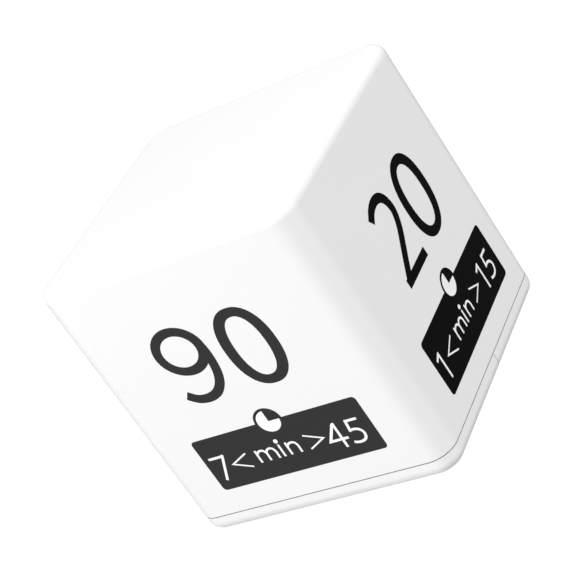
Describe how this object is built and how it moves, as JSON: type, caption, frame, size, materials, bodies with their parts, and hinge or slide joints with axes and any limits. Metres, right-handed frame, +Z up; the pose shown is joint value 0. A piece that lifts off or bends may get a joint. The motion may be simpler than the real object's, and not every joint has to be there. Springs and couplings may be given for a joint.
{
  "type": "cube timer",
  "caption": "Cube countdown timer: a white rounded cube with a number on each side face, a display cover and a tilt-out battery door.",
  "frame": {"origin": "middle of the footprint, on the surface the cube stands on, with the face marked 90 uppermost", "axes": "+Z up through the face marked 90, +X out of the face marked 20, +Y out of the blank closed end of the housing, -Y out of the cover with the display and the battery door"},
  "size_m": [0.062, 0.0636, 0.062],
  "materials": {
    "white_abs": "satin",
    "clear_lens": "gloss",
    "display_glass": "gloss",
    "display_film": "satin",
    "frame_plastic": "matte",
    "strip_rubber": "matte",
    "board_laminate": "satin",
    "screw_steel": "satin",
    "black_resin": "gloss",
    "component_can": "satin",
    "chip_body": "matte",
    "black_plastic": "matte",
    "thin_steel": "satin",
    "copper_winding": "satin",
    "knob_plastic": "matte",
    "brown_laminate": "matte",
    "gilt_brass": "satin",
    "ball_steel": "polished",
    "contact_nickel": "satin",
    "cell_sleeve": "satin",
    "red_wire": "satin",
    "black_wire": "satin"
  },
  "bodies": {
    "root": {"housing": "white_abs", "front_cover": "white_abs", "display_lens": "clear_lens", "display_front_glass": "display_glass", "display_rear_glass": "display_glass", "display_front_film": "display_film", "display_reflector": "display_film", "display_frame": "frame_plastic", "display_contact_strips": "strip_rubber", "circuit_board": "board_laminate", "cover_screws": "screw_steel", "board_screws": "screw_steel", "controller_blob": "black_resin", "watch_crystal": "component_can", "can_capacitor": "component_can", "chip_parts": "chip_body", "buzzer_case": "black_plastic", "left_tilt_plug": "black_plastic", "right_tilt_plug": "black_plastic", "buzzer_diaphragm": "thin_steel", "selector_switch_case": "thin_steel", "sound_switch_case": "thin_steel", "buzzer_coil": "copper_winding", "selector_switch_base": "brown_laminate", "sound_switch_base": "brown_laminate", "left_tilt_can": "gilt_brass", "right_tilt_can": "gilt_brass", "left_tilt_leads": "gilt_brass", "right_tilt_leads": "gilt_brass", "link_contact": "contact_nickel", "positive_contact": "contact_nickel", "negative_contact": "contact_nickel", "link_spring": "contact_nickel", "negative_spring": "contact_nickel", "upper_cell": "cell_sleeve", "lower_cell": "cell_sleeve", "positive_wire": "red_wire", "negative_wire": "black_wire"},
    "door": {"battery_door": "white_abs"},
    "selector": {"selector_knob": "knob_plastic", "selector_switch_slider": "black_plastic"},
    "sound": {"sound_knob": "knob_plastic", "sound_switch_slider": "black_plastic"},
    "left_ball": {"left_tilt_ball": "ball_steel"},
    "right_ball": {"right_tilt_ball": "ball_steel"}
  },
  "joints": [
    {"name": "door_tilt", "type": "hinge", "parent": "root", "child": "door", "pos_m": [0, -0.03175, 0.0305], "axis": [-1, 0, 0], "range_deg": [0, 45]},
    {"name": "selector_slide", "type": "slide", "parent": "root", "child": "selector", "axis": [1, 0, 0], "range_m": [-0.002, 0.002]},
    {"name": "sound_slide", "type": "slide", "parent": "root", "child": "sound", "axis": [1, 0, 0], "range_m": [0, 0.002]},
    {"name": "left_ball_roll", "type": "slide", "parent": "root", "child": "left_ball", "axis": [-0.7071, 0, 0.7071], "range_m": [0, 0.0028]},
    {"name": "right_ball_roll", "type": "slide", "parent": "root", "child": "right_ball", "axis": [0.7071, 0, 0.7071], "range_m": [0, 0.0028]}
  ]
}
